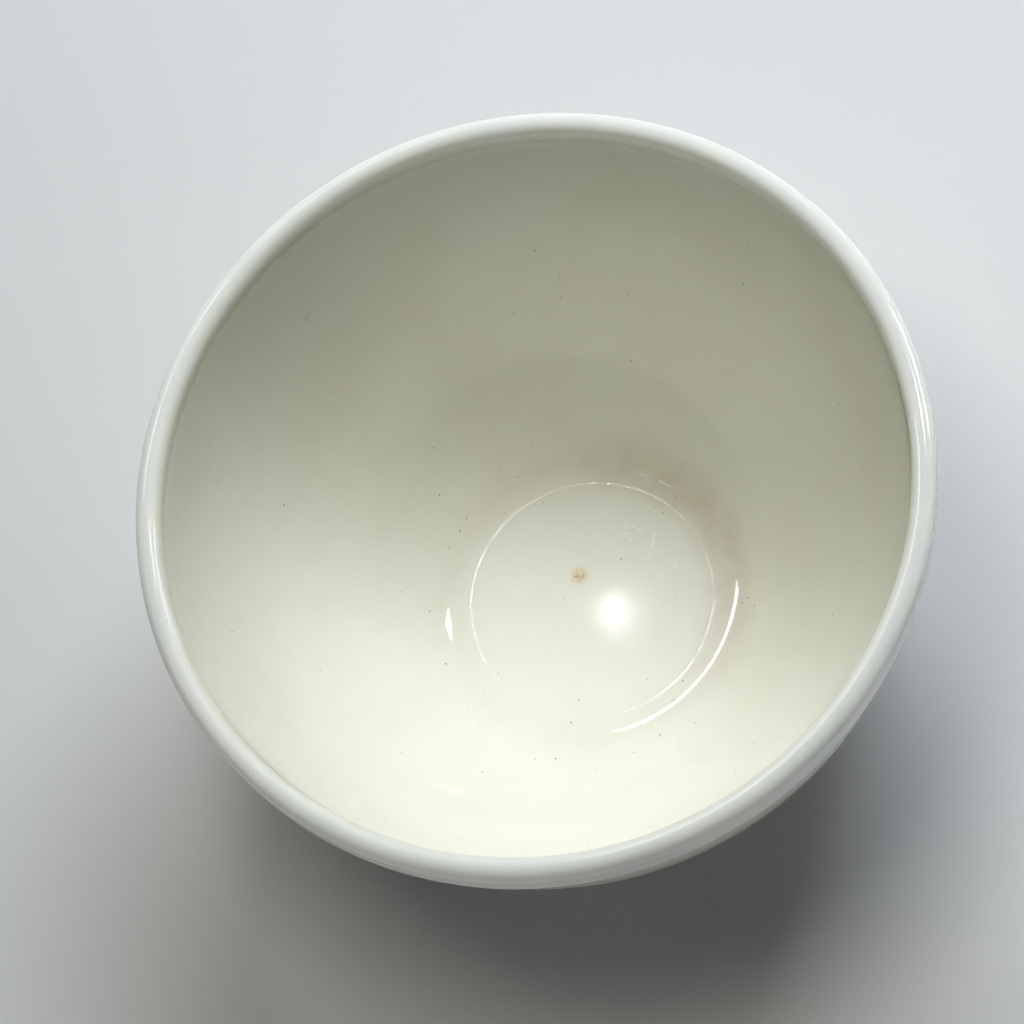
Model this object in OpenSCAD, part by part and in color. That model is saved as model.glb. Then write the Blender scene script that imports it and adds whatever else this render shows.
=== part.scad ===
// Deep serving bowl in glazed porcelain: a clay bowl with a rolled lip, a luted foot ring, and four glaze coats.
// Origin: centre of the foot's standing face. +Z is up, the bowl's axis.

/* [Overall size] */
// Overall diameter, across the outside of the lip
rim_d = 260; // [180:1:340]
// Overall height, from the standing face to the top of the lip
bowl_h = 138; // [100:1:180]

/* [Lip] */
// Thickness of the rolled lip
lip_w = 9; // [7:0.1:12]
// Height of the lip's bead on the outside
lip_h = 13; // [11:0.5:20]
// How far the lip stands out from the wall below it
lip_overhang = 3.2; // [2.6:0.1:5]
// Radius of the bead's lower edge
bead_edge_r = 2.2; // [1:0.1:2.4]
// Height of the hollow fillet between the bead and the wall
bead_fillet = 1.4; // [0.8:0.1:3]

/* [Wall and floor] */
// Thickness of the floor, glaze included
floor_t = 7; // [5:0.1:10]
// Diameter of the round well, where the wall's curve meets the floor
well_d = 96; // [70:1:120]
// Reach of the soft corner round the well, measured along the wall
well_corner = 6; // [3:0.5:12]
// Fullness of the wall's inside curve: 2 is an ellipse, more is rounder at the bottom
inside_fullness = 2.3; // [2:0.05:2.4]
// Fullness of the wall's outside curve
outside_fullness = 2.2; // [2:0.05:2.3]

/* [Foot] */
// Outside diameter of the foot ring
foot_d = 106; // [90:1:130]
// Width of the foot ring
foot_w = 7; // [5.5:0.1:10]
// Height of the foot ring
foot_h = 6; // [5:0.1:8]
// Radius of the hollow flare between the foot and the wall
foot_flare = 3; // [1:0.1:3.2]
// Radius of the hollow corner inside the ring
recess_corner = 2; // [1:0.1:2.4]
// Rounding of the standing edge
foot_edge_r = 1.2; // [0.6:0.1:1.5]

/* [Glaze] */
// Thickness of every glaze coat
glaze_t = 0.4; // [0.3:0.05:0.6]
// Height of the bare clay left above the standing face
bare_band = 1.7; // [1.6:0.1:1.9]

/* [Hidden] */
$fn = 96;

wall_steps = 34;
lip_steps = 20;
corner_steps = 7;

rim_r = rim_d / 2;
lip_r = lip_w / 2;
foot_r = foot_d / 2;
recess_r = foot_r - foot_w;
well_r = well_d / 2;
floor_z = foot_h + floor_t;
underside_z = foot_h - glaze_t;
bead_z = bowl_h - lip_h;

clay_colour = [0.87, 0.83, 0.74];
ivory = [0.90, 0.90, 0.82];
cool_white = [0.93, 0.94, 0.92];

// A wall curve is a quarter of a superellipse. Its axis is the bowl's, its top is level with the lip, and it is
// given as [radius at the top, depth on the axis, fullness].
function depth_on_axis(top_r, r, depth, n) = depth / pow(1 - pow(r / top_r, n), 1 / n);
function wall_angle(curve, depth) = asin(pow(depth / curve[1], curve[2] / 2));
function wall_point(curve, angle) =
    [curve[0] * pow(cos(angle), 2 / curve[2]), bowl_h - curve[1] * pow(sin(angle), 2 / curve[2])];

inside_top_r = rim_r - lip_w;
inside_curve = [
    inside_top_r,
    depth_on_axis(inside_top_r, well_r, bowl_h - floor_z, inside_fullness),
    inside_fullness
];
outside_top_r = rim_r - lip_overhang;
outside_curve = [
    outside_top_r,
    depth_on_axis(outside_top_r, foot_r + foot_flare, bowl_h - foot_h, outside_fullness),
    outside_fullness
];

function arc(centre, r, from, to, steps) =
    [for (i = [0:steps]) let (a = from + (to - from) * i / steps) centre + r * [cos(a), sin(a)]];
function bend(a, corner, b, steps) =
    [for (i = [0:steps]) let (t = i / steps) (1 - t) * (1 - t) * a + 2 * t * (1 - t) * corner + t * t * b];
function wall(curve, from, to, steps) =
    [for (i = [0:steps]) wall_point(curve, from + (to - from) * i / steps)];
function without_first(points) = [for (i = [1:len(points) - 1]) points[i]];
function backwards(points) = [for (i = [len(points) - 1:-1:0]) points[i]];

// The soft corner round the well: it leaves the floor and joins the wall where the wall's own slope points.
corner_top_angle = wall_angle(inside_curve, bowl_h - floor_z - well_corner * 0.5);
corner_top = wall_point(inside_curve, corner_top_angle);
corner_slope = wall_point(inside_curve, corner_top_angle - 0.1) - corner_top;
corner_r = corner_top[0] - corner_slope[0] * (corner_top[1] - floor_z) / corner_slope[1];
corner_start = [2 * corner_r - corner_top[0], floor_z];

// The glazed surface, as it is felt by hand, from the middle of the floor, over the lip and down to the bare foot.
inside_skin = concat(
    [[0, floor_z]],
    bend(corner_start, [corner_r, floor_z], corner_top, corner_steps),
    without_first(wall(inside_curve, corner_top_angle, wall_angle(inside_curve, lip_r), wall_steps))
);
rim_skin = concat(
    without_first(arc([rim_r - lip_r, bowl_h - lip_r], lip_r, 180, 0, lip_steps)),
    arc([rim_r - bead_edge_r, bead_z + bead_edge_r], bead_edge_r, 0, -90, corner_steps)
);
outside_skin = concat(
    without_first(bend(
        [rim_r - bead_edge_r, bead_z],
        [wall_point(outside_curve, wall_angle(outside_curve, lip_h))[0], bead_z],
        wall_point(outside_curve, wall_angle(outside_curve, lip_h + bead_fillet)),
        corner_steps
    )),
    without_first(wall(
        outside_curve,
        wall_angle(outside_curve, lip_h + bead_fillet),
        wall_angle(outside_curve, bowl_h - foot_h),
        wall_steps
    )),
    without_first(arc([foot_r + foot_flare, foot_h - foot_flare], foot_flare, 90, 180, corner_steps)),
    [[foot_r, bare_band]]
);
skin = concat(inside_skin, rim_skin, outside_skin);
base_skin = concat(
    [[recess_r, bare_band]],
    arc([recess_r - recess_corner, underside_z - recess_corner], recess_corner, 0, 90, corner_steps),
    [[0, underside_z]]
);

// The clay lies one glaze coat under the skin. Both chains run with the clay on their right-hand side.
function direction(points, i) =
    let (step = points[min(i + 1, len(points) - 1)] - points[max(i - 1, 0)]) step / norm(step);
function to_clay(d) = [d[1], -d[0]];
function under(points) =
    [for (i = [0:len(points) - 1]) points[i] + glaze_t * to_clay(direction(points, i))];

clay_skin = under(skin);
clay_base = under(base_skin);

function part_of(points, from, count) = [for (i = [from:from + count - 1]) points[i]];

// One glaze coat: the stretch of skin it covers, closed along the clay under it.
module coat(skin_points, clay_points, from, to) {
    count = to - from + 1;
    rotate_extrude()
        polygon(concat(
            part_of(skin_points, from, count),
            backwards(part_of(clay_points, from, count))
        ));
}

inside_end = len(inside_skin) - 1;
rim_end = inside_end + len(rim_skin);
outside_end = rim_end + len(outside_skin);

// All the clay in section: the bowl and its foot ring, before they are divided at the luted joint.
module clay_section() {
    edge_out = foot_r - glaze_t - foot_edge_r;
    edge_in = recess_r + glaze_t + foot_edge_r;
    polygon(concat(
        clay_skin,
        arc([edge_out, foot_edge_r], foot_edge_r, 0, -90, corner_steps),
        arc([edge_in, foot_edge_r], foot_edge_r, -90, -180, corner_steps),
        clay_base
    ));
}

module clay_body() {
    color(clay_colour)
        rotate_extrude()
            intersection() {
                clay_section();
                translate([0, foot_h])
                    square([rim_r, bowl_h]);
            }
}

module foot_ring() {
    color(clay_colour)
        rotate_extrude()
            intersection() {
                clay_section();
                square([rim_r, foot_h]);
            }
}

module inside_glaze() {
    color(ivory)
        coat(skin, clay_skin, 0, inside_end);
}

module rim_glaze() {
    color(cool_white)
        coat(skin, clay_skin, inside_end, rim_end);
}

module outside_glaze() {
    color(ivory)
        coat(skin, clay_skin, rim_end, outside_end);
}

module base_glaze() {
    color(ivory)
        coat(base_skin, clay_base, 0, len(base_skin) - 1);
}

clay_body();
foot_ring();
inside_glaze();
rim_glaze();
outside_glaze();
base_glaze();
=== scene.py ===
"""Looks of a porcelain serving bowl: its clay, its four glaze coats and a plain studio to see it in.

The bowl is one body of revolution. One grid of points, the skin, covers the whole glazed surface from the
middle of the well, up the inside, over the lip and down to the foot. Every coat is a band of that grid with
real thickness, so that neighbouring coats meet without a seam, and the clay lies one coat under it.
"""
import math
from typing import NamedTuple

import bpy
import numpy as np
from bpy.props import FloatProperty, FloatVectorProperty, IntProperty, PointerProperty
from bpy.types import Operator, Panel, PropertyGroup
from mathutils import Matrix, Vector, noise


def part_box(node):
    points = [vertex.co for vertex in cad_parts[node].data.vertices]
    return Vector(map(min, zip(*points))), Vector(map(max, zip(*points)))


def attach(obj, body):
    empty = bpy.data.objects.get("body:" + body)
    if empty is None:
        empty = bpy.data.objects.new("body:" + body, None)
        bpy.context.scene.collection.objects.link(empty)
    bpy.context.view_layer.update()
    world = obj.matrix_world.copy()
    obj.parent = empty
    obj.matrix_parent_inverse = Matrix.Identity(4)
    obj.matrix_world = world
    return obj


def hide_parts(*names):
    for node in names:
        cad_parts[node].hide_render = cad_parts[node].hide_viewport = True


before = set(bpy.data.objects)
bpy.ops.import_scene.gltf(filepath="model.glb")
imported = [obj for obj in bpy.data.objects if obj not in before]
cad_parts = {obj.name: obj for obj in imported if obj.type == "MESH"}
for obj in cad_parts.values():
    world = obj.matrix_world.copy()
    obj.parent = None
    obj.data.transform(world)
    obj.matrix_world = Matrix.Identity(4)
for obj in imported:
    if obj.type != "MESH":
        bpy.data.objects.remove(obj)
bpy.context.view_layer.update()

bl_info = {
    "name": "Porcelain serving bowl",
    "version": (1, 0, 0),
    "blender": (4, 5, 0),
    "location": "View3D > Sidebar > Bowl",
    "description": "Builds the glazed surfaces, the clay and the foot of a serving bowl, and a plain studio",
    "category": "Object",
}

BODY = "root"
MM = 0.001


# ---------------------------------------------------------------- sizes that the frame already holds

def widest(node):
    """Largest radius that a node reaches from the bowl's axis."""
    return max(math.hypot(v.co.x, v.co.y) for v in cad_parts[node].data.vertices)


def narrowest(node):
    """Smallest radius of a node that is open in the middle."""
    return min(math.hypot(v.co.x, v.co.y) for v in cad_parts[node].data.vertices)


def top_of(node):
    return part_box(node)[1].z


def bottom_of(node):
    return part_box(node)[0].z


RIM_R = widest("rim_glaze")
RIM_TOP = top_of("rim_glaze")
BEAD_Z = bottom_of("rim_glaze")
COAT = RIM_TOP - top_of("clay_body")
FLOOR_Z = bottom_of("inside_glaze") + COAT
FOOT_TOP = top_of("foot_ring")
FOOT_R = narrowest("outside_glaze") + COAT
RECESS_R = widest("base_glaze") - COAT
UNDERSIDE_Z = FOOT_TOP - COAT
BARE_Z = bottom_of("base_glaze")


# ---------------------------------------------------------------- what a user may change

def length(name, description, default):
    return FloatProperty(name=name, description=description, default=default, unit="LENGTH", precision=5)


def share(name, description, default):
    return FloatProperty(name=name, description=description, default=default, min=0.0)


def colour(name, description, default):
    return FloatVectorProperty(name=name, description=description, default=default, size=3, subtype="COLOR")


def angle(name, description, degrees):
    return FloatProperty(name=name, description=description, default=math.radians(degrees), subtype="ANGLE")


class BowlShape(PropertyGroup):
    """The bowl's section, where the frame doesn't give it outright."""

    lip_width: length("Lip width", "Thickness of the rolled lip", 9 * MM)
    lip_overhang: length("Lip overhang", "How far the lip stands out from the wall below it", 3.2 * MM)
    bead_edge: length("Bead edge", "Radius of the bead's lower edge", 2.2 * MM)
    bead_fillet: length("Bead fillet", "Height of the hollow fillet under the bead", 1.4 * MM)
    well_radius: length("Well radius", "Radius of the round well in the floor", 48 * MM)
    well_corner: length("Well corner", "Reach of the soft corner round the well", 6 * MM)
    inside_fullness: share("Inside fullness", "Fullness of the wall's inside curve", 2.3)
    outside_fullness: share("Outside fullness", "Fullness of the wall's outside curve", 2.2)
    foot_flare: length("Foot flare", "Radius of the hollow between foot and wall", 3 * MM)
    recess_corner: length("Recess corner", "Radius of the hollow corner inside the foot ring", 2 * MM)
    foot_edge: length("Foot edge", "Rounding of the standing edge", 1.2 * MM)
    segments: IntProperty(name="Segments", description="Points round the bowl", default=512, min=64)


class BowlHand(PropertyGroup):
    """How far the making departs from a perfect turning."""

    settle: length("Settle", "Depth of the whole skin under the nominal surface", 0.1 * MM)
    clay_wave: length("Clay wave", "Depth of the long waves left by the mould and the sponge", 0.16 * MM)
    clay_wave_size: length("Clay wave size", "Wavelength of those waves", 42 * MM)
    lip_wave: length("Lip wave", "Extra depth of the waves on the lip", 0.30 * MM)
    lip_wave_along: length("Lip wave along", "Wavelength of the lip's waves, along the rim", 34 * MM)
    lip_wave_across: length("Lip wave across", "Wavelength of the lip's waves, across the lip", 9 * MM)
    glaze_run: length("Glaze run", "Depth of the finer waves in the glaze", 0.05 * MM)
    glaze_run_size: length("Glaze run size", "Wavelength of those waves", 13 * MM)
    edge_wave: length("Edge wave", "How far the glaze's lower edge wanders upwards", 0.7 * MM)
    edge_wave_size: length("Edge wave size", "Wavelength along that edge", 9 * MM)
    grit: length("Grit", "Depth of the grit on bare clay", 0.05 * MM)


class BowlFinish(PropertyGroup):
    """Colours and marks of the glaze and clay."""

    ivory: colour("Ivory", "Body of the ivory glaze", (0.84, 0.84, 0.77))
    ivory_thin: colour("Thin ivory", "Ivory where the glaze is thin", (0.82, 0.815, 0.735))
    lip_white: colour("Lip white", "Thick cool white glaze on the lip", (0.755, 0.77, 0.75))
    clay: colour("Clay", "Bare fired clay", (0.68, 0.62, 0.52))
    speck: colour("Speck", "Iron specks and open pinholes", (0.075, 0.055, 0.035))
    # Partly a real stain, partly painted shade: its darkness also stands for shade on the well's edge.
    blush_and_shade: colour("Blush", "Pink-brown stain in the crazed ring round the well", (0.62, 0.50, 0.42))
    rust: colour("Rust", "Rusty crumbs in the middle of the well", (0.50, 0.34, 0.16))
    stain: colour("Stain", "Faint stain round the rusty crumbs", (0.80, 0.69, 0.49))
    well_white: colour("Well white", "Whiter glaze on the floor of the well", (0.87, 0.875, 0.83))
    # Painted shade: the band just inside the lip and the lip's inner side are darker where they turn from the
    # light.
    painted_lip_shade: colour("Gathered glaze", "Thicker glaze just under the lip, on the inside", (0.66, 0.66, 0.56))
    # Painted glint: the scratches are drawn this white because light glints in them.
    scratch: colour("Scratch", "Glaze laid open by a scratch", (1.0, 1.0, 1.0))
    grime: colour("Grime", "Bare clay greyed by the table", (0.30, 0.28, 0.25))
    gloss: share("Gloss", "Roughness of clean glaze", 0.06)
    scuffed: share("Scuffed", "Roughness of glaze scuffed by use", 0.20)
    clay_roughness: share("Clay roughness", "Roughness of bare clay", 0.85)


class BowlStudio(PropertyGroup):
    """Floor, lamps and camera."""

    floor_colour: colour("Floor", "Plain pale floor", (0.72, 0.73, 0.74))
    room_colour: colour("Room", "Soft light from all round", (0.95, 0.97, 1.0))
    room_strength: share("Room strength", "Strength of the light from all round", 0.03)
    camera_distance: length("Camera distance", "From the lens to the point looked at", 1.15246)
    camera_height: angle("Camera height", "Angle of the view above the horizon", 68.14)
    camera_roll: angle("Camera roll", "Turn of the camera about its own axis", -30.0)
    camera_view: angle("Camera view", "Angle of view of the lens", 16.0)
    look_x: length("Look at X", "Point looked at in the plane of the rim, along X", -8.98 * MM)
    look_y: length("Look at Y", "Point looked at in the plane of the rim, along Y", -6.74 * MM)


PROPERTY_GROUPS = {
    "bowl_shape": BowlShape,
    "bowl_hand": BowlHand,
    "bowl_finish": BowlFinish,
    "bowl_studio": BowlStudio,
}


# ---------------------------------------------------------------- the section, as chains of (radius, height)

def arc(centre, radius, start, end, steps):
    """Points on an arc, angles in degrees."""
    turn = np.radians(np.linspace(start, end, steps + 1))
    return np.stack([centre[0] + radius * np.cos(turn), centre[1] + radius * np.sin(turn)], 1)


def bend(start, corner, end, steps):
    """Points on a soft corner that leaves start and reaches end along the lines to the corner."""
    t = np.linspace(0, 1, steps + 1)[:, None]
    return (1 - t) ** 2 * np.array(start) + 2 * t * (1 - t) * np.array(corner) + t ** 2 * np.array(end)


def straight(start, end, steps):
    """Points on a straight line."""
    t = np.linspace(0, 1, steps + 1)[:, None]
    return (1 - t) * np.array(start) + t * np.array(end)


class WallCurve:
    """A quarter of a superellipse: level with the lip at its widest, on the bowl's axis at its lowest."""

    def __init__(self, top_r, fullness, low_r, low_depth):
        self.top_r = top_r
        self.fullness = fullness
        self.axis_depth = low_depth / (1 - (low_r / top_r) ** fullness) ** (1 / fullness)

    def angle(self, depth):
        """How far round the quarter the curve is at this depth below the lip, in radians."""
        return math.asin((depth / self.axis_depth) ** (self.fullness / 2))

    def points(self, turn):
        r = self.top_r * np.cos(turn) ** (2 / self.fullness)
        z = RIM_TOP - self.axis_depth * np.sin(turn) ** (2 / self.fullness)
        return np.stack([r, z], -1)

    def between(self, start, end, steps):
        return self.points(np.linspace(start, end, steps + 1))


def joined(*chains):
    """One chain from several that share their end points."""
    return np.concatenate([chains[0]] + [chain[1:] for chain in chains[1:]])


def inside_section(shape):
    """Well, soft corner and inside wall, from the axis up to the lip."""
    lip_r = shape.lip_width / 2
    wall = WallCurve(
        RIM_R - shape.lip_width, shape.inside_fullness, shape.well_radius, RIM_TOP - FLOOR_Z)
    corner_turn = wall.angle(RIM_TOP - FLOOR_Z - shape.well_corner * 0.5)
    corner_top = wall.points(corner_turn)
    small_turn = 0.002
    slope = wall.points(corner_turn - small_turn) - corner_top
    corner_r = corner_top[0] - slope[0] * (corner_top[1] - FLOOR_Z) / slope[1]
    corner_start = (2 * corner_r - corner_top[0], FLOOR_Z)
    return joined(
        straight((0, FLOOR_Z), corner_start, steps=22),
        bend(corner_start, (corner_r, FLOOR_Z), corner_top, steps=14),
        wall.between(corner_turn, wall.angle(lip_r), steps=84))


def lip_section(shape):
    """The rolled lip and its bead, down to the bead's lower edge."""
    lip_r = shape.lip_width / 2
    return joined(
        arc((RIM_R - lip_r, RIM_TOP - lip_r), lip_r, 180, 0, steps=44),
        straight((RIM_R, RIM_TOP - lip_r), (RIM_R, BEAD_Z + shape.bead_edge), steps=14),
        arc((RIM_R - shape.bead_edge, BEAD_Z + shape.bead_edge), shape.bead_edge, 0, -90, steps=12))


def outside_section(shape):
    """Fillet under the bead, outside wall, flare and foot side, down to the bare clay."""
    top_r = RIM_R - shape.lip_overhang
    wall = WallCurve(top_r, shape.outside_fullness, FOOT_R + shape.foot_flare, RIM_TOP - FOOT_TOP)
    bead_depth = RIM_TOP - BEAD_Z
    under_bead = wall.angle(bead_depth + shape.bead_fillet)
    fillet_r = wall.points(wall.angle(bead_depth))[0]
    flare_centre = (FOOT_R + shape.foot_flare, FOOT_TOP - shape.foot_flare)
    return joined(
        bend((RIM_R - shape.bead_edge, BEAD_Z), (fillet_r, BEAD_Z), wall.points(under_bead), steps=10),
        wall.between(under_bead, wall.angle(RIM_TOP - FOOT_TOP), steps=84),
        arc(flare_centre, shape.foot_flare, 90, 180, steps=10),
        straight((FOOT_R, flare_centre[1]), (FOOT_R, BARE_Z), steps=5))


def base_section(shape):
    """Recess under the bowl, from the bare clay inside the ring in to the axis."""
    corner = (RECESS_R - shape.recess_corner, UNDERSIDE_Z - shape.recess_corner)
    return joined(
        straight((RECESS_R, BARE_Z), (RECESS_R, corner[1]), steps=5),
        arc(corner, shape.recess_corner, 0, 90, steps=10),
        straight((corner[0], UNDERSIDE_Z), (0, UNDERSIDE_Z), steps=36))


def outward(section):
    """Unit normals of a chain, on the side away from the clay, which lies to the right along the chain."""
    step = np.gradient(section, axis=0)
    step /= np.linalg.norm(step, axis=1)[:, None]
    return np.stack([-step[:, 1], step[:, 0]], 1)


def along(section):
    """Distance along a chain to each of its points."""
    steps = np.linalg.norm(np.diff(section, axis=0), axis=1)
    return np.concatenate([[0], np.cumsum(steps)])


# ---------------------------------------------------------------- the skin, as a grid of points

# The waves almost vanish on the well's floor, so that it mirrors a small lamp as one round spot. They are back
# to their full depth at this height above it. The two shares say how much of the clay's and of the glaze's
# waves the floor loses.
CALM_HEIGHT = 14 * MM
CALM_CLAY = 0.8
CALM_GLAZE = 0.85
# Share of a coat's thickness that is rounded off at its lower edge.
ROUNDED_OFF = 0.9
# A grid normal shorter than this has no direction: its points lie on the axis.
NO_AREA = 1e-14

def turned(section, segments):
    """The chain turned round the axis: points[row, segment] = (x, y, z)."""
    turn = np.arange(segments) * 2 * math.pi / segments
    r, z = section[:, :1], section[:, 1:]
    return np.stack([r * np.cos(turn), r * np.sin(turn), z + 0 * turn], -1)


def waves(points, wavelength, seed):
    """Smooth noise from 0 to 1 at each point. The wavelength may differ along the three axes."""
    scaled = (points / np.array(wavelength) + seed).reshape(-1, 3)
    heights = [noise.noise(Vector(place)) for place in scaled]
    return np.clip(0.5 + 0.5 * np.array(heights), 0, 1).reshape(points.shape[:2])


def smooth_step(value, start, end):
    """0 before start, 1 after end, and smooth between. Start may be the larger."""
    t = np.clip((value - start) / (end - start), 0, 1)
    return t * t * (3 - 2 * t)


def rolled_edge(height):
    """Depth that rounds a coat off over its last bit above the bare clay, and is nil elsewhere."""
    reach = np.clip(1 - (height - BARE_Z) / COAT, 0, 1)
    return ROUNDED_OFF * COAT * (1 - np.sqrt(1 - reach ** 2))


class Skin:
    """A glazed surface that hand and kiln have left a little uneven, and the clay one coat under it."""

    def __init__(self, section, shape, hand, lip=None):
        """lip gives the distances along the section at which the lip starts and ends."""
        self.true = turned(section, shape.segments)
        self.out = turned(outward(section), shape.segments)
        self.distance = along(section)[:, None] + np.zeros((1, shape.segments))
        well = smooth_step(np.abs(self.true[..., 2] - FLOOR_Z), CALM_HEIGHT, 0)
        clay_waves = waves(self.true, hand.clay_wave_size, seed=3.1)
        glaze_waves = waves(self.true, hand.glaze_run_size, seed=7.7)
        clay_depth = hand.settle + (1 - CALM_CLAY * well) * hand.clay_wave * clay_waves
        if lip:
            clay_depth = clay_depth + self.lip_depth(hand, *lip)
        glaze_depth = (1 - CALM_GLAZE * well) * hand.glaze_run * glaze_waves + rolled_edge(self.true[..., 2])
        self.points = self.true - self.out * (clay_depth + glaze_depth)[..., None]
        self.clay = self.true - self.out * (clay_depth + COAT)[..., None]
        self.lift_edge(hand)

    def lip_depth(self, hand, start, end):
        """Long low ridges that run round the lip, as a sponge leaves them."""
        place = np.stack([self.true[..., 0], self.true[..., 1], self.distance], -1)
        size = (hand.lip_wave_along, hand.lip_wave_along, hand.lip_wave_across)
        fade = 3 * MM
        near = smooth_step(self.distance, start - fade, start + fade)
        near = near * smooth_step(self.distance, end + fade, end - fade)
        return near * hand.lip_wave * waves(place, size, seed=11.3)

    def lift_edge(self, hand):
        """Lifts the glaze's lower edge off the true line by a little more here and less there."""
        reach = 1.2 * MM
        top = BARE_Z + reach
        low = np.clip((top - self.true[..., 2]) / (top - BARE_Z), 0, 1)
        lift = low * hand.edge_wave * waves(self.true, hand.edge_wave_size, seed=5.9)
        self.points[..., 2] += lift
        self.clay[..., 2] += lift


def normals_of(points, out):
    """Normals of an uneven grid, on the same side as the true ones."""
    down = np.gradient(points, axis=0)
    sideways = np.roll(points, -1, axis=1) - np.roll(points, 1, axis=1)
    normal = np.cross(down, sideways)
    size = np.linalg.norm(normal, axis=2)
    on_axis = size < NO_AREA
    normal[on_axis] = out[on_axis]
    size[on_axis] = np.linalg.norm(out[on_axis], axis=1)
    normal /= size[..., None]
    side = np.where((normal * out).sum(2) < 0, -1.0, 1.0)
    return normal * side[..., None]


# ---------------------------------------------------------------- meshes from grids

def band_of_faces(upper, lower, segments):
    """Four-sided faces between two rows of a grid, whose points are numbered row by row."""
    here = np.arange(segments)
    after = np.roll(here, -1)
    a, b = upper * segments, lower * segments
    return np.stack([a + here, a + after, b + after, b + here], 1).tolist()


def closed_mesh(name, points, normals, ring):
    """A closed mesh from rows of points round the axis.

    A ring joins its last row to its first. Otherwise the first and last rows lie on the axis, and each becomes
    one point.
    """
    rows, segments = points.shape[:2]
    if ring:
        vertices = points.reshape(-1, 3)
        directions = normals.reshape(-1, 3)
        bands = [(row, (row + 1) % rows) for row in range(rows)]
        faces = []
    else:
        vertices = np.concatenate([points[1:-1].reshape(-1, 3), points[[0, -1], 0]])
        directions = np.concatenate([normals[1:-1].reshape(-1, 3), normals[[0, -1], 0]])
        last = (rows - 3) * segments
        start_pole = (rows - 2) * segments
        end_pole = start_pole + 1
        bands = [(row, row + 1) for row in range(rows - 3)]
        sides = [(here, (here + 1) % segments) for here in range(segments)]
        faces = [[start_pole, after, here] for here, after in sides]
        faces += [[end_pole, last + here, last + after] for here, after in sides]
    for upper, lower in bands:
        faces += band_of_faces(upper, lower, segments)
    mesh = bpy.data.meshes.new(name)
    mesh.from_pydata(vertices.tolist(), [], faces)
    every = 50
    sample = [mesh.polygons[i] for i in range(0, len(mesh.polygons), every)]
    if sum(face.normal.dot(Vector(directions[face.vertices[0]])) for face in sample) < 0:
        mesh.flip_normals()
    mesh.polygons.foreach_set("use_smooth", [True] * len(mesh.polygons))
    mesh.normals_split_custom_set_from_vertices(directions.tolist())
    return mesh


def thinned(start, stop, step):
    """Row numbers from start up to stop, every step-th and always the last."""
    kept = list(range(start, stop, step))
    return kept if kept[-1] == stop - 1 else kept + [stop - 1]


def coat_mesh(name, skin, start, stop):
    """One glaze coat: its rows of the skin, closed by fewer rows on the clay under them."""
    backing_step = 4
    face = list(range(start, stop))
    back = thinned(start, stop, backing_step)[::-1]
    normals = normals_of(skin.points, skin.out)
    points = np.concatenate([skin.points[face], skin.clay[back]])
    directions = np.concatenate([normals[face], -skin.out[back]])
    starts_on_axis = np.allclose(points[0, :, :2], 0)
    ends_on_axis = np.allclose(points[len(face) - 1, :, :2], 0)
    if ends_on_axis:
        points = np.roll(points, -len(face), axis=0)
        directions = np.roll(directions, -len(face), axis=0)
    return closed_mesh(name, points, directions, ring=not (starts_on_axis or ends_on_axis))


def make_piece(name, mesh, material, node):
    """Puts a finished mesh in the scene as the looks of one CAD node."""
    mesh.materials.append(material)
    piece = bpy.data.objects.new(name, mesh)
    bpy.context.scene.collection.objects.link(piece)
    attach(piece, BODY)
    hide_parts(node)


class BowlSkin(Skin):
    """The skin from the middle of the well, over the lip and down to the foot, with its three coats' rows."""

    def __init__(self, shape, hand):
        inside, lip, outside = inside_section(shape), lip_section(shape), outside_section(shape)
        section = joined(inside, lip, outside)
        self.inside_rows = (0, len(inside))
        self.lip_rows = (len(inside) - 1, len(inside) + len(lip) - 1)
        self.outside_rows = (self.lip_rows[1] - 1, len(section))
        distance = along(section)
        super().__init__(section, shape, hand, (distance[self.lip_rows[0]], distance[self.lip_rows[1] - 1]))


_made = {}


def bowl_skin(scene):
    """The bowl's skin, built once for each set of sizes and shared by the coats and the clay."""
    groups = (scene.bowl_shape, scene.bowl_hand)
    sizes = tuple(getattr(group, name) for group in groups for name in group.__annotations__)
    if sizes not in _made:
        _made[sizes] = BowlSkin(*groups)
    return _made[sizes]


def clay_mesh(name, skin):
    """The clay bowl without its foot: the clay under its three coats, closed by the flat joint with the foot."""
    row_step = 3
    above_joint = skin.clay[..., 2].min(axis=1) > FOOT_TOP
    rows = thinned(0, int(np.flatnonzero(above_joint)[-1]) + 1, row_step)
    joint = skin.clay[rows[-1:]].copy()
    joint[..., 2] = FOOT_TOP
    middle = joint * (0, 0, 1)
    points = np.concatenate([skin.clay[rows], joint, middle])
    down = np.zeros_like(joint) + (0, 0, -1)
    directions = np.concatenate([skin.out[rows], down, down])
    return closed_mesh(name, points, directions, ring=False)


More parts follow.
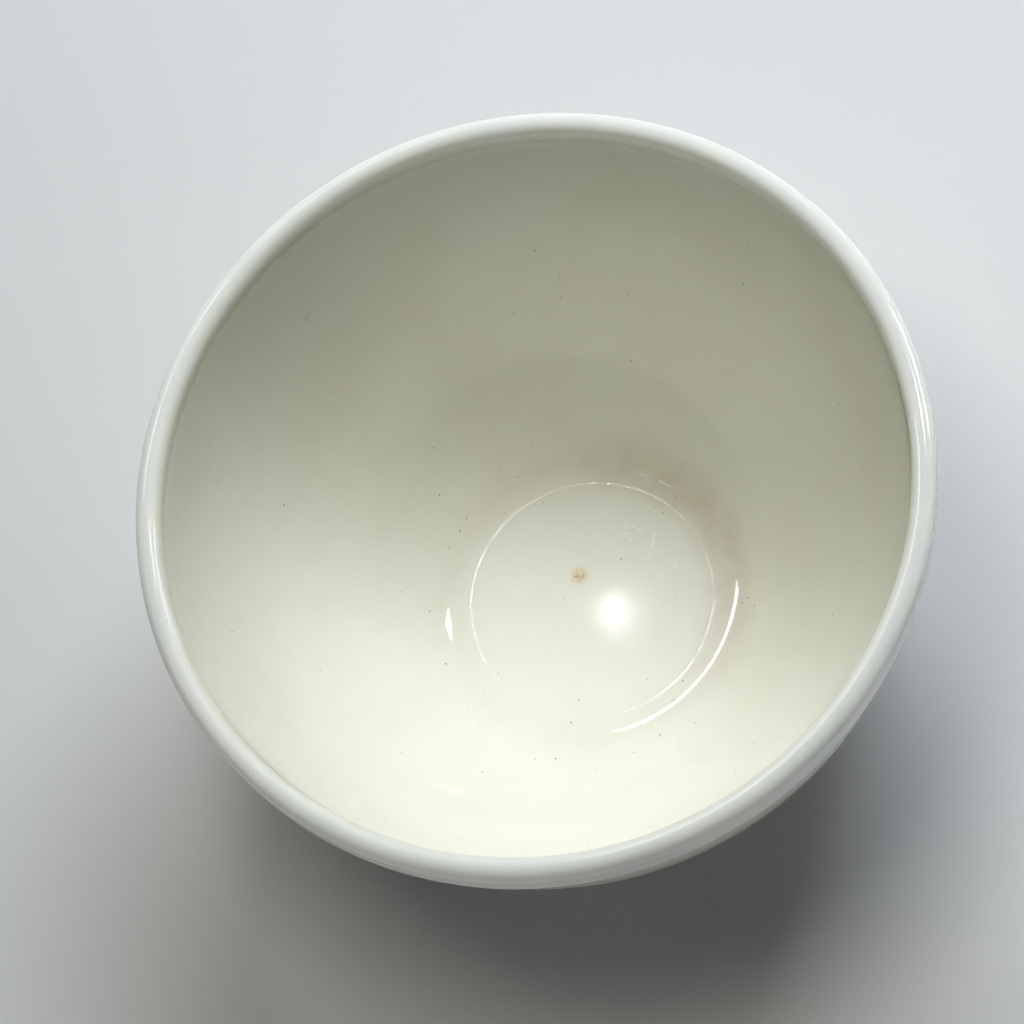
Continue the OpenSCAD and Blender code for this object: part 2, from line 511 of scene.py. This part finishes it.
def foot_mesh(name, shape, hand):
    """The luted foot ring, all round its section, with grit where the clay is bare."""
    edge, flare, corner = shape.foot_edge, shape.foot_flare, shape.recess_corner
    outer, inner = FOOT_R - COAT, RECESS_R + COAT
    flare_centre = (FOOT_R + flare, FOOT_TOP - flare)
    joint_turn = 180 - math.degrees(math.asin(flare / (flare + COAT)))
    corner_centre = (RECESS_R - corner, FOOT_TOP - COAT - corner)
    flare_arc = arc(flare_centre, flare + COAT, joint_turn, 180, steps=8)
    corner_arc = arc(corner_centre, corner + COAT, 0, 90, steps=8)
    section = joined(
        flare_arc,
        straight(flare_arc[-1], (outer, edge), steps=8),
        arc((outer - edge, edge), edge, 0, -90, steps=8),
        straight((outer - edge, 0), (inner + edge, 0), steps=12),
        arc((inner + edge, edge), edge, -90, -180, steps=8),
        straight((inner, edge), corner_arc[0], steps=8),
        corner_arc,
        straight(corner_arc[-1], flare_arc[0], steps=6)[:-1])
    true = turned(section, shape.segments)
    out = turned(outward(section), shape.segments)
    grit_fades = 1.5 * MM
    bare = smooth_step(true[..., 2], BARE_Z + grit_fades, BARE_Z)
    fine_grit = waves(true, 1.6 * MM, seed=2.3)
    broad_grit = waves(true, 12 * MM, seed=8.1)
    depth = hand.grit * (0.6 * fine_grit + 0.4 * broad_grit)
    points = true - out * (bare * depth)[..., None]
    return closed_mesh(name, points, normals_of(points, out), ring=True)


# ---------------------------------------------------------------- shader maths

# A Mix node has sockets for every kind of data. These are the numbers of the ones for colours.
MIX_FACTOR, MIX_UNDER, MIX_OVER, MIX_RESULT = 0, 6, 7, 2


def add_node(tree, kind, settings=None, sockets=None, output=0):
    """Adds one node: first its settings, then the values or links of its sockets. Returns one output."""
    node = tree.nodes.new(kind)
    for name, setting in (settings or {}).items():
        setattr(node, name, setting)
    for socket, value in (sockets or {}).items():
        if isinstance(value, Value):
            tree.links.new(value.socket, node.inputs[socket])
        else:
            node.inputs[socket].default_value = value
    return Value(node.outputs[output]) if node.outputs else None


class Value:
    """Something that varies over a surface. Arithmetic on a number adds Math nodes to its material."""

    def __init__(self, socket):
        self.socket = socket
        self.tree = socket.id_data

    def other(self, output):
        """Another output of the same node."""
        return Value(self.socket.node.outputs[output])

    def maths(self, operation, *others):
        """One Math node, with this value as its first term."""
        return add_node(self.tree, "ShaderNodeMath", {"operation": operation}, dict(enumerate((self, *others))))

    def __add__(self, term):
        return self.maths("ADD", term)

    def __sub__(self, term):
        return self.maths("SUBTRACT", term)

    def __rsub__(self, term):
        return add_node(self.tree, "ShaderNodeMath", {"operation": "SUBTRACT"}, {0: term, 1: self})

    def __mul__(self, term):
        return self.maths("MULTIPLY", term)

    def __truediv__(self, term):
        return self.maths("DIVIDE", term)

    def __pow__(self, term):
        return self.maths("POWER", term)

    def __lt__(self, term):
        return self.maths("LESS_THAN", term)

    __radd__ = __add__
    __rmul__ = __mul__

    def step(self, start, end):
        """0 before start, 1 after end, and smooth between. Start may be the larger."""
        limits = {"Value": self, "From Min": start, "From Max": end}
        return add_node(self.tree, "ShaderNodeMapRange", {"interpolation_type": "SMOOTHSTEP"}, limits)

    def bell(self, middle, half_width):
        """1 at the middle, smoothly down to 0 at half a width on either side."""
        return (self - middle).maths("ABSOLUTE").step(half_width, 0)


def strongest(first, *others):
    """The largest of several values."""
    for other in others:
        first = first.maths("MAXIMUM", other)
    return first


def solid(rgb):
    """A colour with the fourth number that a colour socket expects."""
    return (*rgb, 1.0)


class Finish:
    """A node material: places on the bowl, the marks that lie on it, and one shader."""

    def __init__(self, name):
        self.material = bpy.data.materials.new(name)
        self.material.use_nodes = True
        self.tree = self.material.node_tree
        self.tree.nodes.clear()
        self.place = self.node("ShaderNodeTexCoord", output="Object")
        self.x = self.node("ShaderNodeSeparateXYZ", sockets={0: self.place}, output="X")
        self.y = self.x.other("Y")
        self.z = self.x.other("Z")
        self.radius = (self.x * self.x + self.y * self.y) ** 0.5
        self.azimuth = self.y.maths("ARCTAN2", self.x)

    def node(self, kind, settings=None, sockets=None, output=0):
        return add_node(self.tree, kind, settings, sockets, output)

    def vector(self, operation, first, second, output=0):
        return self.node("ShaderNodeVectorMath", {"operation": operation}, {0: first, 1: second}, output)

    def facing(self, degrees):
        """1 where the azimuth is this one, 0.5 at right angles to it, 0 opposite."""
        return 0.5 + 0.5 * (self.azimuth - math.radians(degrees)).maths("COSINE")

    def cloud(self, wavelength, seed, detail=2.0, stretch=(1, 1, 1)):
        """Smooth noise about 0.5."""
        place = self.vector("MULTIPLY", self.place, stretch)
        sockets = {"Vector": place, "W": seed, "Scale": 1 / wavelength, "Detail": detail}
        return self.node("ShaderNodeTexNoise", {"noise_dimensions": "4D"}, sockets)

    def spots(self, cell, size, part, seed):
        """Scattered round spots, 1 inside. Cells of this size hold one each, in this part of them."""
        place = self.vector("ADD", self.place, (seed, seed, seed))
        distance = self.node("ShaderNodeTexVoronoi", sockets={"Vector": place, "Scale": 1 / cell})
        lot = self.node("ShaderNodeSeparateColor", sockets={0: distance.other("Color")})
        own_size = size * (0.45 + 0.55 * lot.other("Green")) / cell
        ratio = distance / own_size
        return (lot < part) * ratio.step(1.0, 0.65)

    def blot(self, centre, size, seed, ragged=0.5):
        """One ragged blot, 1 in its middle."""
        away = self.vector("DISTANCE", self.place, centre, "Value") / size
        return (away + ragged * (self.cloud(size * 0.8, seed, detail=3.0) - 0.5) * 2).step(1.0, 0.1)

    def hairline(self, start, end, width):
        """One straight scratch between two points, seen from above: 1 along its middle."""
        run = end - start
        flat = self.vector("MULTIPLY", self.place, (1, 1, 0))
        from_start = self.vector("SUBTRACT", flat, tuple(start))
        share = self.vector("DOT_PRODUCT", from_start, tuple(run / run.length_squared), "Value")
        share = share.maths("MAXIMUM", 0.0).maths("MINIMUM", 1.0)
        nearest = self.node("ShaderNodeVectorMath", {"operation": "SCALE"}, {0: tuple(run), "Scale": share})
        return self.vector("DISTANCE", from_start, nearest, "Value").step(width, 0.2 * width)

    def laid_over(self, under, over, mask):
        """Colour: over lies on under where mask is 1."""
        sockets = {MIX_FACTOR: mask, MIX_UNDER: under, MIX_OVER: over}
        return self.node("ShaderNodeMix", {"data_type": "RGBA"}, sockets, MIX_RESULT)

    def relief(self, height, depth):
        """Normal of a surface that rises by depth where height is 1."""
        return self.node("ShaderNodeBump", sockets={"Strength": 1.0, "Distance": depth, "Height": height})

    def shade(self, colour, roughness, normal, ior):
        """Ends the material with its shader, and returns it."""
        sockets = {"Base Color": colour, "Roughness": roughness, "IOR": ior, "Normal": normal}
        shader = self.node("ShaderNodeBsdfPrincipled", sockets=sockets)
        self.node("ShaderNodeOutputMaterial", sockets={"Surface": shader})
        return self.material


# ---------------------------------------------------------------- finishes

GLASS_IOR = 1.52
CLAY_IOR = 1.45
FLOOR_IOR = 1.4

# Depths below the top of the lip, on the inside: the middle of the band of painted shade just under the lip,
# half its width, and where the lip's white begins and is full.
SHADE_BAND_DOWN = 6.4 * MM
SHADE_BAND_REACH = 3.0 * MM
WHITE_BEGINS_DOWN = 5.7 * MM
WHITE_FULL_DOWN = 4.9 * MM

# The ring round the well, a real stain that also carries painted shade on its strongest side: the radius of its
# middle, half its width, and its strongest side's azimuth.
BLUSH_AND_SHADE_R = 49.5 * MM
BLUSH_AND_SHADE_REACH = 14 * MM
BLUSH_AND_SHADE_AZIMUTH = 10

RUSTY_SPOT = (0.3 * MM, 10.2 * MM, FLOOR_Z)
WALL_SMUDGE = (-36.0 * MM, 110.8 * MM, RIM_TOP - 45 * MM)

# How much of the glaze's colour a dark speck hides.
SPECK_COVER = 0.85


class Scratch(NamedTuple):
    """A short fine scratch in the well, with sizes in millimetres and its direction in degrees."""

    x: float
    y: float
    direction: float
    length: float
    width: float

    def ends(self):
        """Both ends, in metres."""
        turn = math.radians(self.direction)
        middle = Vector((self.x, self.y, 0))
        half = Vector((math.cos(turn), math.sin(turn), 0)) * (self.length / 2)
        return (middle - half) * MM, (middle + half) * MM


# Two along the edge of the well, a broken line in three parts, a cluster of five, and four that lie alone.
SCRATCHES = (
    Scratch(37.5, 30.5, -50, 2.5, 0.30),
    Scratch(42.5, 23.5, -60, 4.5, 0.35),
    Scratch(29.5, 8.5, 50, 3.5, 0.30),
    Scratch(27.5, 6, 50, 2, 0.35),
    Scratch(25.5, 4, 70, 1.5, 0.25),
    Scratch(23.5, 17.5, -75, 1.5, 0.35),
    Scratch(25.5, 16, -55, 1.5, 0.35),
    Scratch(22, 15, -35, 2, 0.25),
    Scratch(26.5, 13.5, -50, 1.5, 0.40),
    Scratch(22, 12, 80, 1, 0.30),
    Scratch(34, 18, -75, 3.5, 0.20),
    Scratch(31, -4.5, 65, 2, 0.25),
    Scratch(25.5, -5.5, 85, 1.5, 0.30),
    Scratch(-16.5, 22.5, 20, 1.5, 0.20),
)


def glaze_marks(finish, part, seed):
    """Dark specks and open pinholes: their mask, wherever this part of the cells holds one."""
    large = finish.spots(cell=3.4 * MM, size=0.34 * MM, part=part, seed=seed)
    small = finish.spots(cell=2.3 * MM, size=0.20 * MM, part=part * 1.2, seed=seed + 0.37)
    return strongest(large, 0.7 * small)


def ivory_colour(finish, colours, seed):
    """Ivory glaze, a little thinner and yellower here than there."""
    broad = finish.cloud(34 * MM, seed)
    fine = finish.cloud(5 * MM, seed + 1.7, detail=3.0)
    thin = (0.75 * broad + 0.25 * fine).step(0.36, 0.66)
    return finish.laid_over(solid(colours.ivory), solid(colours.ivory_thin), thin)


def with_lip_edge(finish, colours, base):
    """Painted shade in a band just under the lip, where the wall turns away from the light, and above it the
    ragged edge of the lip's own white.
    """
    ragged = 4.5 * MM
    height = finish.z + ragged * (finish.cloud(3.4 * MM, seed=5.2, detail=4.0) - 0.5)
    # Painted shade: a darker band just under the lip, where the wall turns away from the light.
    painted_lip_shade = height.bell(RIM_TOP - SHADE_BAND_DOWN, SHADE_BAND_REACH)
    base = finish.laid_over(base, solid(colours.painted_lip_shade), 0.7 * painted_lip_shade)
    whiter = height.step(RIM_TOP - WHITE_BEGINS_DOWN, RIM_TOP - WHITE_FULL_DOWN)
    return finish.laid_over(base, solid(colours.lip_white), whiter)


def with_stain_and_shade_ring(finish, colours, base):
    """A whiter floor to the well, and the wandering pink-brown ring round it: a real stain, with painted shade
    on its strong side.
    """
    worn_white = 0.6 * finish.radius.step(53 * MM, 40 * MM)
    base = finish.laid_over(base, solid(colours.well_white), worn_white)
    wander = 9 * MM
    radius = finish.radius + wander * (finish.cloud(24 * MM, seed=4.1, detail=3.0) - 0.5)
    ring = radius.bell(BLUSH_AND_SHADE_R, BLUSH_AND_SHADE_REACH)
    # Painted shade: the ring is strongest and darkest on the side where the well's edge lies in shade.
    stain_and_shade_side = finish.facing(BLUSH_AND_SHADE_AZIMUTH) ** 3.0
    crazed = finish.cloud(7 * MM, seed=6.6, detail=4.0).step(0.3, 0.65)
    ring = ring * (0.07 + 0.36 * stain_and_shade_side) * (0.6 + 0.4 * crazed)
    return finish.laid_over(base, solid(colours.blush_and_shade), ring)


def with_spots(finish, colours, base):
    """The rusty crumbs with their faint stain, and one smudge on the wall."""
    stain = finish.blot(RUSTY_SPOT, size=4.6 * MM, seed=3.3, ragged=0.7)
    base = finish.laid_over(base, solid(colours.stain), 0.65 * stain)
    crumbs = finish.blot(RUSTY_SPOT, size=4.0 * MM, seed=8.2, ragged=0.5)
    crumbs = crumbs * finish.cloud(1.1 * MM, seed=6.1, detail=2.0).step(0.48, 0.62)
    base = finish.laid_over(base, solid(colours.rust), 0.65 * crumbs)
    smudge = finish.blot(WALL_SMUDGE, size=3.2 * MM, seed=1.9, ragged=0.7)
    return finish.laid_over(base, solid(colours.speck), 0.10 * smudge)


def inside_finish(colours):
    """Glossy ivory with the marks that use has left round the well."""
    finish = Finish("ivory_glaze_inside")
    base = ivory_colour(finish, colours, seed=2.0)
    base = with_lip_edge(finish, colours, base)
    base = with_stain_and_shade_ring(finish, colours, base)
    base = with_spots(finish, colours, base)

    low = finish.z.step(60 * MM, 20 * MM)
    round_the_well = finish.radius.bell(52 * MM, 20 * MM)
    specks = glaze_marks(finish, 0.06 + 0.05 * low + 0.30 * round_the_well, seed=0.11)
    base = finish.laid_over(base, solid(colours.speck), SPECK_COVER * specks)
    # Real scratches in the well, drawn white as a painted glint; the same mask roughens the glaze.
    scratches_and_glints = strongest(*(finish.hairline(*each.ends(), each.width * MM) for each in SCRATCHES))
    base = finish.laid_over(base, solid(colours.scratch), 0.85 * scratches_and_glints)

    well = finish.radius.step(60 * MM, 30 * MM)
    use = finish.cloud(15 * MM, seed=5.5, detail=4.0).step(0.42, 0.72) * well
    roughness = colours.gloss + (colours.scuffed - colours.gloss) * (0.25 * use + scratches_and_glints)
    skin = finish.cloud(2.4 * MM, seed=9.0, detail=1.0)
    normal = finish.relief(skin - 0.8 * specks, depth=0.004 * MM)
    return finish.shade(base, roughness, normal, GLASS_IOR)


def lip_finish(colours):
    """Thick cool white glaze, with pits and faint ridges that run along the lip, and painted shade on its inner
    side.
    """
    finish = Finish("rim_glaze")
    patches = finish.cloud(20 * MM, seed=3.0, detail=3.0).step(0.35, 0.7)
    base = finish.laid_over(solid(colours.lip_white), solid(colours.ivory), 0.35 * patches)
    # Painted shade: the lip's inner side, which turns away from the light, is darker, more so in patches.
    shaded_inner_side = finish.radius.step(RIM_R - 5.5 * MM, RIM_R - 8.5 * MM)
    base = finish.laid_over(base, solid(colours.painted_lip_shade), shaded_inner_side * (0.25 + 0.5 * patches))
    pits = glaze_marks(finish, 0.035, seed=0.53)
    base = finish.laid_over(base, solid(colours.speck), 0.65 * pits)
    uneven = finish.cloud(45 * MM, seed=5.0).step(0.36, 0.60)
    skin = finish.cloud(3.4 * MM, seed=2.5, detail=2.0) * (0.15 + 0.85 * uneven)
    normal = finish.relief(skin - 0.5 * pits, depth=0.035 * MM)
    roughness = colours.gloss + 0.05 * finish.cloud(6 * MM, seed=4.4, detail=3.0)
    return finish.shade(base, roughness, normal, GLASS_IOR)


def outside_finish(colours):
    """Glossy ivory with specks, and faint rings from the turning under it."""
    finish = Finish("ivory_glaze_outside")
    base = ivory_colour(finish, colours, seed=6.0)
    whiter = finish.z.step(BEAD_Z - 9 * MM, BEAD_Z)
    base = finish.laid_over(base, solid(colours.lip_white), whiter)
    thin_edge = finish.z.step(BARE_Z + 2.2 * MM, BARE_Z + 0.3 * MM)
    base = finish.laid_over(base, solid(colours.clay), 0.6 * thin_edge)
    specks = glaze_marks(finish, 0.09, seed=0.29)
    base = finish.laid_over(base, solid(colours.speck), SPECK_COVER * specks)
    rings = finish.cloud(2.8 * MM, seed=1.2, detail=2.0, stretch=(0.02, 0.02, 1))
    skin = 0.5 * rings + 0.5 * finish.cloud(3.2 * MM, seed=9.9, detail=1.0)
    normal = finish.relief(skin - 0.8 * specks, depth=0.010 * MM)
    roughness = colours.gloss + 0.05 * finish.cloud(18 * MM, seed=3.9, detail=3.0)
    return finish.shade(base, roughness, normal, GLASS_IOR)


def base_finish(colours):
    """Thinner ivory under the bowl, over the rings of the turning."""
    finish = Finish("base_glaze")
    base = ivory_colour(finish, colours, seed=8.0)
    ring_width, ring_wander = 2.2 * MM, 0.4 * MM
    radius = finish.radius + ring_wander * finish.cloud(30 * MM, seed=1.0)
    sockets = {"W": radius, "Scale": 1 / ring_width, "Detail": 2.0}
    rings = finish.node("ShaderNodeTexNoise", {"noise_dimensions": "1D"}, sockets)
    base = finish.laid_over(base, solid(colours.clay), 0.25 * rings.step(0.45, 0.75))
    near_foot = finish.z.step(BARE_Z + 1.6 * MM, BARE_Z + 0.3 * MM)
    base = finish.laid_over(base, solid(colours.clay), 0.6 * near_foot)
    specks = glaze_marks(finish, 0.07, seed=0.71)
    base = finish.laid_over(base, solid(colours.speck), SPECK_COVER * specks)
    normal = finish.relief(rings - 0.6 * specks, depth=0.03 * MM)
    roughness = colours.gloss + 0.12 * finish.cloud(12 * MM, seed=7.1, detail=3.0)
    return finish.shade(base, roughness, normal, GLASS_IOR)


def clay_finish(colours, name):
    """Bare fired clay: matt, gritty, greyed where it stands on the table."""
    finish = Finish(name)
    patches = finish.cloud(14 * MM, seed=2.2, detail=3.0).step(0.35, 0.7)
    lighter = 1.12
    light = tuple(min(1.0, lighter * part) for part in colours.clay)
    base = finish.laid_over(solid(colours.clay), solid(light), patches)
    specks = finish.spots(cell=1.6 * MM, size=0.22 * MM, part=0.08, seed=0.2)
    base = finish.laid_over(base, solid(colours.speck), 0.5 * specks)
    worn = finish.z.step(0.6 * MM, 0.05 * MM) * (0.4 + 0.6 * finish.cloud(5 * MM, seed=3.0, detail=3.0))
    base = finish.laid_over(base, solid(colours.grime), 0.45 * worn)
    normal = finish.relief(finish.cloud(0.9 * MM, seed=1.1, detail=4.0), depth=0.12 * MM)
    roughness = colours.clay_roughness - 0.25 * worn
    return finish.shade(base, roughness, normal, CLAY_IOR)


def floor_finish(colour):
    """Plain pale matt floor."""
    finish = Finish("pale_floor")
    shade = finish.cloud(900 * MM, seed=1.0).step(0.2, 0.8)
    darker = 0.97
    deeper = tuple(darker * part for part in colour)
    base = finish.laid_over(solid(colour), solid(deeper), shade)
    normal = finish.relief(finish.cloud(4 * MM, seed=2.0, detail=3.0), depth=0.02 * MM)
    return finish.shade(base, 0.7, normal, FLOOR_IOR)


# ---------------------------------------------------------------- studio

class Lamp(NamedTuple):
    """A rectangular lamp that looks at the middle of the rim. Angles are in degrees, sizes in metres.

    A sparkle is only mirrored in the gloss. Any other lamp only lights, and isn't mirrored.
    """

    name: str
    azimuth: float
    height: float
    width: float
    depth: float
    power: float
    colour: tuple = (1, 1, 1)
    spread: float = 180
    sparkle: bool = True


LAMP_DISTANCE = 1.5
COOL = (0.91, 0.935, 1.0)
WARM = (1.0, 1.0, 0.86)
# The first two light the bowl, and the three low fills, level with its middle, light only its outside. The rest
# are sparkles. The numbers are azimuth, height, width, depth and power.
LAMPS = (
    Lamp("softbox", 45, 46, 0.95, 0.60, 14.2, COOL, sparkle=False),
    Lamp("ceiling_lamp", 110, 83, 0.60, 0.60, 5.6, WARM, sparkle=False),
    Lamp("low_fill_front", -15, 0.8, 0.50, 0.08, 0.10, spread=26, sparkle=False),
    Lamp("low_fill_right", 110, 0.8, 0.50, 0.08, 0.09, spread=26, sparkle=False),
    Lamp("low_fill_left", 230, 0.8, 0.50, 0.08, 0.10, spread=26, sparkle=False),
    Lamp("bulb", 87.6, 69, 0.016, 0.016, 0.022),
    Lamp("long_strip", 103, 47, 0.84, 0.08, 2.6),
    Lamp("small_window", 22, 59, 0.12, 0.16, 0.8),
    Lamp("low_lamp", 6, 25, 0.50, 0.08, 2.4),
)


def add_lamp(lamp):
    """Hangs one lamp."""
    data = bpy.data.lights.new(lamp.name, "AREA")
    data.shape = "RECTANGLE"
    data.size = lamp.width
    data.size_y = lamp.depth
    data.energy = lamp.power
    data.color = lamp.colour
    data.spread = math.radians(lamp.spread)
    hung = bpy.data.objects.new(lamp.name, data)
    bpy.context.scene.collection.objects.link(hung)
    turn, rise = math.radians(lamp.azimuth), math.radians(lamp.height)
    towards = Vector((math.cos(turn) * math.cos(rise), math.sin(turn) * math.cos(rise), math.sin(rise)))
    hung.location = Vector((0, 0, RIM_TOP)) + towards * LAMP_DISTANCE
    hung.rotation_euler = towards.to_track_quat("Z", "Y").to_euler()
    hung.visible_camera = False
    hung.visible_glossy = lamp.sparkle
    hung.visible_diffuse = not lamp.sparkle


def add_camera(studio):
    """Places the camera above the rim, tilted down and rolled."""
    data = bpy.data.cameras.new("camera")
    data.sensor_fit = "HORIZONTAL"
    data.angle = studio.camera_view
    data.clip_start = 0.01
    camera = bpy.data.objects.new("camera", data)
    bpy.context.scene.collection.objects.link(camera)
    tilt = Matrix.Rotation(math.pi / 2 - studio.camera_height, 4, "X")
    roll = Matrix.Rotation(studio.camera_roll, 4, "Z")
    looked_at = Vector((studio.look_x, studio.look_y, RIM_TOP))
    back = tilt @ Vector((0, 0, studio.camera_distance))
    camera.matrix_world = Matrix.Translation(looked_at + back) @ tilt @ roll
    bpy.context.scene.camera = camera


def floor_mesh(name):
    """A round floor that sweeps up into a low wall far behind the bowl."""
    flat_r, sweep_r, wall_top = 2.4, 0.8, 2.2
    segments = 96
    section = joined(
        straight((0, 0), (flat_r, 0), steps=12),
        arc((flat_r, sweep_r), sweep_r, -90, 0, steps=12),
        straight((flat_r + sweep_r, sweep_r), (flat_r + sweep_r, wall_top), steps=4))
    points = turned(section[1:], segments)
    faces = [list(range(segments))]
    for row in range(len(points) - 1):
        faces += band_of_faces(row + 1, row, segments)
    mesh = bpy.data.meshes.new(name)
    mesh.from_pydata(points.reshape(-1, 3).tolist(), [], faces)
    mesh.polygons.foreach_set("use_smooth", [True] * len(mesh.polygons))
    return mesh


def light_room(studio):
    """Soft even light from all round."""
    world = bpy.data.worlds.new("room")
    world.use_nodes = True
    world.node_tree.nodes.clear()
    room = {"Color": solid(studio.room_colour), "Strength": studio.room_strength}
    glow = add_node(world.node_tree, "ShaderNodeBackground", sockets=room)
    add_node(world.node_tree, "ShaderNodeOutputWorld", sockets={"Surface": glow})
    bpy.context.scene.world = world


# ---------------------------------------------------------------- operators

class BOWL_OT_clay_body(Operator):
    """Build the clay bowl that carries the glaze"""
    bl_idname = "bowl.clay_body"
    bl_label = "Clay body"

    def execute(self, context):
        mesh = clay_mesh("clay_body_looks", bowl_skin(context.scene))
        finish = clay_finish(context.scene.bowl_finish, "bare_clay_body")
        make_piece("clay_bowl", mesh, finish, "clay_body")
        return {"FINISHED"}


class BOWL_OT_foot_ring(Operator):
    """Build the foot ring with its bare standing edge"""
    bl_idname = "bowl.foot_ring"
    bl_label = "Foot ring"

    def execute(self, context):
        scene = context.scene
        mesh = foot_mesh("foot_ring_looks", scene.bowl_shape, scene.bowl_hand)
        finish = clay_finish(scene.bowl_finish, "bare_clay_foot")
        make_piece("bare_foot", mesh, finish, "foot_ring")
        return {"FINISHED"}


class BOWL_OT_inside_glaze(Operator):
    """Build the ivory coat inside the bowl"""
    bl_idname = "bowl.inside_glaze"
    bl_label = "Inside glaze"

    def execute(self, context):
        skin = bowl_skin(context.scene)
        mesh = coat_mesh("inside_glaze_looks", skin, *skin.inside_rows)
        finish = inside_finish(context.scene.bowl_finish)
        make_piece("inside_coat", mesh, finish, "inside_glaze")
        return {"FINISHED"}


class BOWL_OT_rim_glaze(Operator):
    """Build the thick white coat over the lip"""
    bl_idname = "bowl.rim_glaze"
    bl_label = "Rim glaze"

    def execute(self, context):
        skin = bowl_skin(context.scene)
        mesh = coat_mesh("rim_glaze_looks", skin, *skin.lip_rows)
        finish = lip_finish(context.scene.bowl_finish)
        make_piece("rim_coat", mesh, finish, "rim_glaze")
        return {"FINISHED"}


class BOWL_OT_outside_glaze(Operator):
    """Build the ivory coat outside the bowl, down to the bare foot"""
    bl_idname = "bowl.outside_glaze"
    bl_label = "Outside glaze"

    def execute(self, context):
        skin = bowl_skin(context.scene)
        mesh = coat_mesh("outside_glaze_looks", skin, *skin.outside_rows)
        finish = outside_finish(context.scene.bowl_finish)
        make_piece("outside_coat", mesh, finish, "outside_glaze")
        return {"FINISHED"}


class BOWL_OT_base_glaze(Operator):
    """Build the thin coat in the recess under the bowl"""
    bl_idname = "bowl.base_glaze"
    bl_label = "Base glaze"

    def execute(self, context):
        scene = context.scene
        section = base_section(scene.bowl_shape)
        skin = Skin(section, scene.bowl_shape, scene.bowl_hand)
        mesh = coat_mesh("base_glaze_looks", skin, 0, len(section))
        finish = base_finish(scene.bowl_finish)
        make_piece("base_coat", mesh, finish, "base_glaze")
        return {"FINISHED"}


class BOWL_OT_studio(Operator):
    """Set out the floor, the lamps and the camera"""
    bl_idname = "bowl.studio"
    bl_label = "Studio"

    def execute(self, context):
        studio = context.scene.bowl_studio
        mesh = floor_mesh("floor")
        mesh.materials.append(floor_finish(studio.floor_colour))
        floor = bpy.data.objects.new("floor", mesh)
        context.scene.collection.objects.link(floor)
        light_room(studio)
        for lamp in LAMPS:
            add_lamp(lamp)
        add_camera(studio)
        context.scene.view_settings.view_transform = "Standard"
        context.scene.view_settings.look = "High Contrast"
        return {"FINISHED"}


class BOWL_PT_panel(Panel):
    """The bowl's operators and sizes"""
    bl_idname = "BOWL_PT_panel"
    bl_label = "Serving bowl"
    bl_space_type = "VIEW_3D"
    bl_region_type = "UI"
    bl_category = "Bowl"

    def draw(self, context):
        for operator in OPERATORS:
            self.layout.operator(operator.bl_idname)
        for pointer in PROPERTY_GROUPS:
            group = getattr(context.scene, pointer)
            box = self.layout.box()
            for name in group.__annotations__:
                box.prop(group, name)


OPERATORS = (
    BOWL_OT_studio,
    BOWL_OT_clay_body,
    BOWL_OT_foot_ring,
    BOWL_OT_inside_glaze,
    BOWL_OT_rim_glaze,
    BOWL_OT_outside_glaze,
    BOWL_OT_base_glaze,
)
CLASSES = (*PROPERTY_GROUPS.values(), *OPERATORS, BOWL_PT_panel)


def register():
    for each in CLASSES:
        bpy.utils.register_class(each)
    for pointer, group in PROPERTY_GROUPS.items():
        setattr(bpy.types.Scene, pointer, PointerProperty(type=group))


def unregister():
    for pointer in PROPERTY_GROUPS:
        delattr(bpy.types.Scene, pointer)
    for each in reversed(CLASSES):
        bpy.utils.unregister_class(each)


def main():
    """Builds everything in order."""
    register()
    bpy.ops.bowl.studio()
    bpy.ops.bowl.clay_body()
    bpy.ops.bowl.foot_ring()
    bpy.ops.bowl.inside_glaze()
    bpy.ops.bowl.rim_glaze()
    bpy.ops.bowl.outside_glaze()
    bpy.ops.bowl.base_glaze()


if __name__ == "__main__":
    main()
